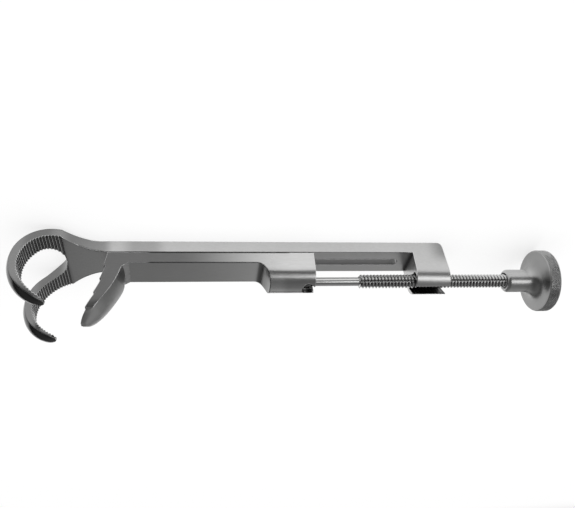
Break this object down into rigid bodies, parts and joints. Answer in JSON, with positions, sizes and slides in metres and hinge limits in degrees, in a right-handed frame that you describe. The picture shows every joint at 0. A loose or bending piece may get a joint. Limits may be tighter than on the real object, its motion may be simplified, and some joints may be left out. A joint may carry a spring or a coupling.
{
  "type": "bone holding clamp",
  "caption": "Screw clamp for holding bone: a bar with ridged hooks, a sliding jaw with a toothed prong, and a threaded spindle with a round knurled knob that swings out of a half nut.",
  "frame": {"origin": "under the middle of the clamp, in the plane of the bar's back", "axes": "+X along the bar from the hooks to the knob, +Z out of the bar on the side of the hooks and the spindle, +Y across the bar"},
  "size_m": [0.2015, 0.0374, 0.0305],
  "materials": {
    "satin_steel": "satin stainless steel",
    "ground_steel": "finely ground stainless steel",
    "turned_steel": "turned stainless steel"
  },
  "bodies": {
    "clamp_body": {"fixed_jaw": "satin_steel"},
    "jaw": {"sliding_jaw": "ground_steel", "guide_screw_front": "turned_steel", "guide_screw_rear": "turned_steel"},
    "swivel": {"swivel_ball": "turned_steel"},
    "screw": {"spindle": "turned_steel", "knob": "satin_steel", "knob_pin": "turned_steel"}
  },
  "joints": [
    {"name": "jaw_slide", "type": "slide", "parent": "clamp_body", "child": "jaw", "axis": [-1, 0, 0], "range_m": [-0.025, 0.022]},
    {"name": "spindle_swing", "type": "hinge", "parent": "jaw", "child": "swivel", "pos_m": [0.00325, 0, 0.0137], "axis": [0, -1, 0], "range_deg": [0, 65]},
    {"name": "spindle_spin", "type": "hinge", "parent": "swivel", "child": "screw", "pos_m": [0.00325, 0, 0.0137], "axis": [-1, 0, 0], "range_deg": [-6770, 5958]}
  ],
  "couplings": [
    {"joint": "spindle_spin", "follows": "jaw_slide", "rad_per_m": 4724.2}
  ]
}
